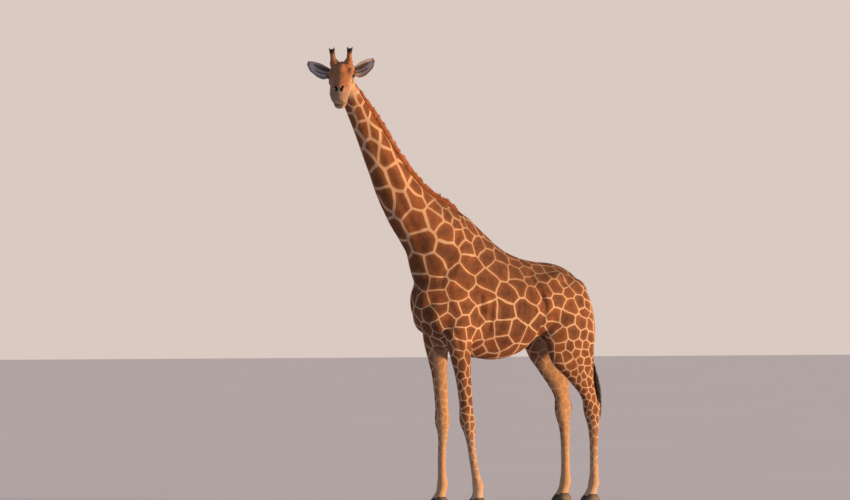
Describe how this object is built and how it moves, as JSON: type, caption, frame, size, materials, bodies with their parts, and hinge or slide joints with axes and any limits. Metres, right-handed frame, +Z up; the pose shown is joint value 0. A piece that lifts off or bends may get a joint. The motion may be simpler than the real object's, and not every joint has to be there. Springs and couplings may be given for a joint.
{
  "type": "giraffe",
  "caption": "Life-size standing giraffe with a turned head, patched coat, upright mane and tufted tail, as a still museum model that rests on its hooves.",
  "frame": {"origin": "floor level under the middle of the giraffe's box, hoof soles at height zero", "axes": "+Z up; the body faces -Y, so +Y runs from the chest to the tail; +X is the giraffe's left side"},
  "size_m": [0.8104, 3.221, 4.2489],
  "materials": {
    "coat": "hide under short flat hair, warm brown patches divided by pale cream lines",
    "ossicone": "hide under short brown hair, with black hair at the tips",
    "eye": "wet, near-black brown",
    "mane": "short upright red-brown hair",
    "tuft": "long black hair",
    "hoof": "dull dark grey-brown horn"
  },
  "bodies": {
    "root": {"trunk": "coat", "neck": "coat", "head": "coat", "ear_left": "coat", "ear_right": "coat", "tail": "coat", "leg_fore_left_upper": "coat", "leg_fore_left_lower": "coat", "leg_fore_right_upper": "coat", "leg_fore_right_lower": "coat", "leg_hind_left_upper": "coat", "leg_hind_left_lower": "coat", "leg_hind_right_upper": "coat", "leg_hind_right_lower": "coat", "ossicone_left": "ossicone", "ossicone_right": "ossicone", "eye_left": "eye", "eye_right": "eye", "mane": "mane", "tail_tuft": "tuft", "hoof_fore_left_inner": "hoof", "hoof_fore_left_outer": "hoof", "hoof_fore_right_inner": "hoof", "hoof_fore_right_outer": "hoof", "hoof_hind_left_inner": "hoof", "hoof_hind_left_outer": "hoof", "hoof_hind_right_inner": "hoof", "hoof_hind_right_outer": "hoof"}
  },
  "joints": []
}
